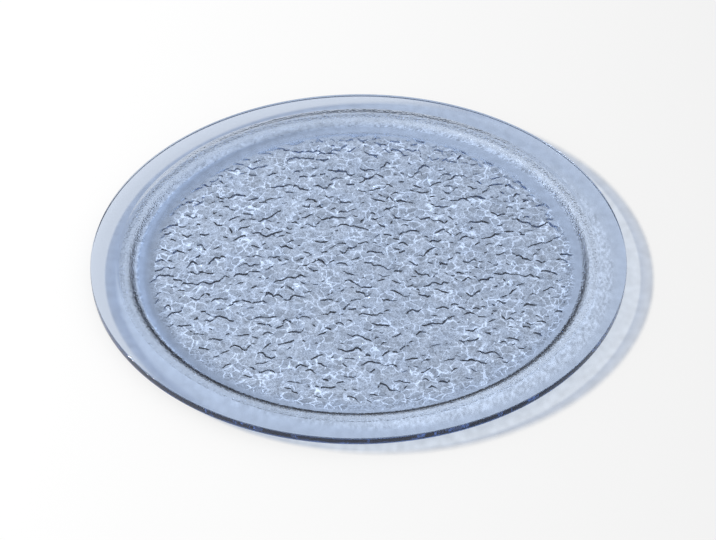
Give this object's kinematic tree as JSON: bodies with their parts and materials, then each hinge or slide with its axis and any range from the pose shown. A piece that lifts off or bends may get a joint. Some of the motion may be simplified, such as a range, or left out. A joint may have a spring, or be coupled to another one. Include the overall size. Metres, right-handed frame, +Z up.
{
  "type": "candle plate",
  "caption": "Round pressed-glass candle plate: a flat recessed floor with a hammered underside, a short sloping flank and a wide smooth lip around it.",
  "frame": {"origin": "centre of the plate on the plane it rests on, the underside of its foot ring", "axes": "+Z up along the plate's axis; X and Y are free, because the plate is round"},
  "size_m": [0.28, 0.28, 0.0081],
  "materials": {
    "glass": "clear blue-grey pressed glass, smooth above, hammered below"
  },
  "bodies": {
    "root": {"glass_plate": "glass"}
  },
  "joints": []
}
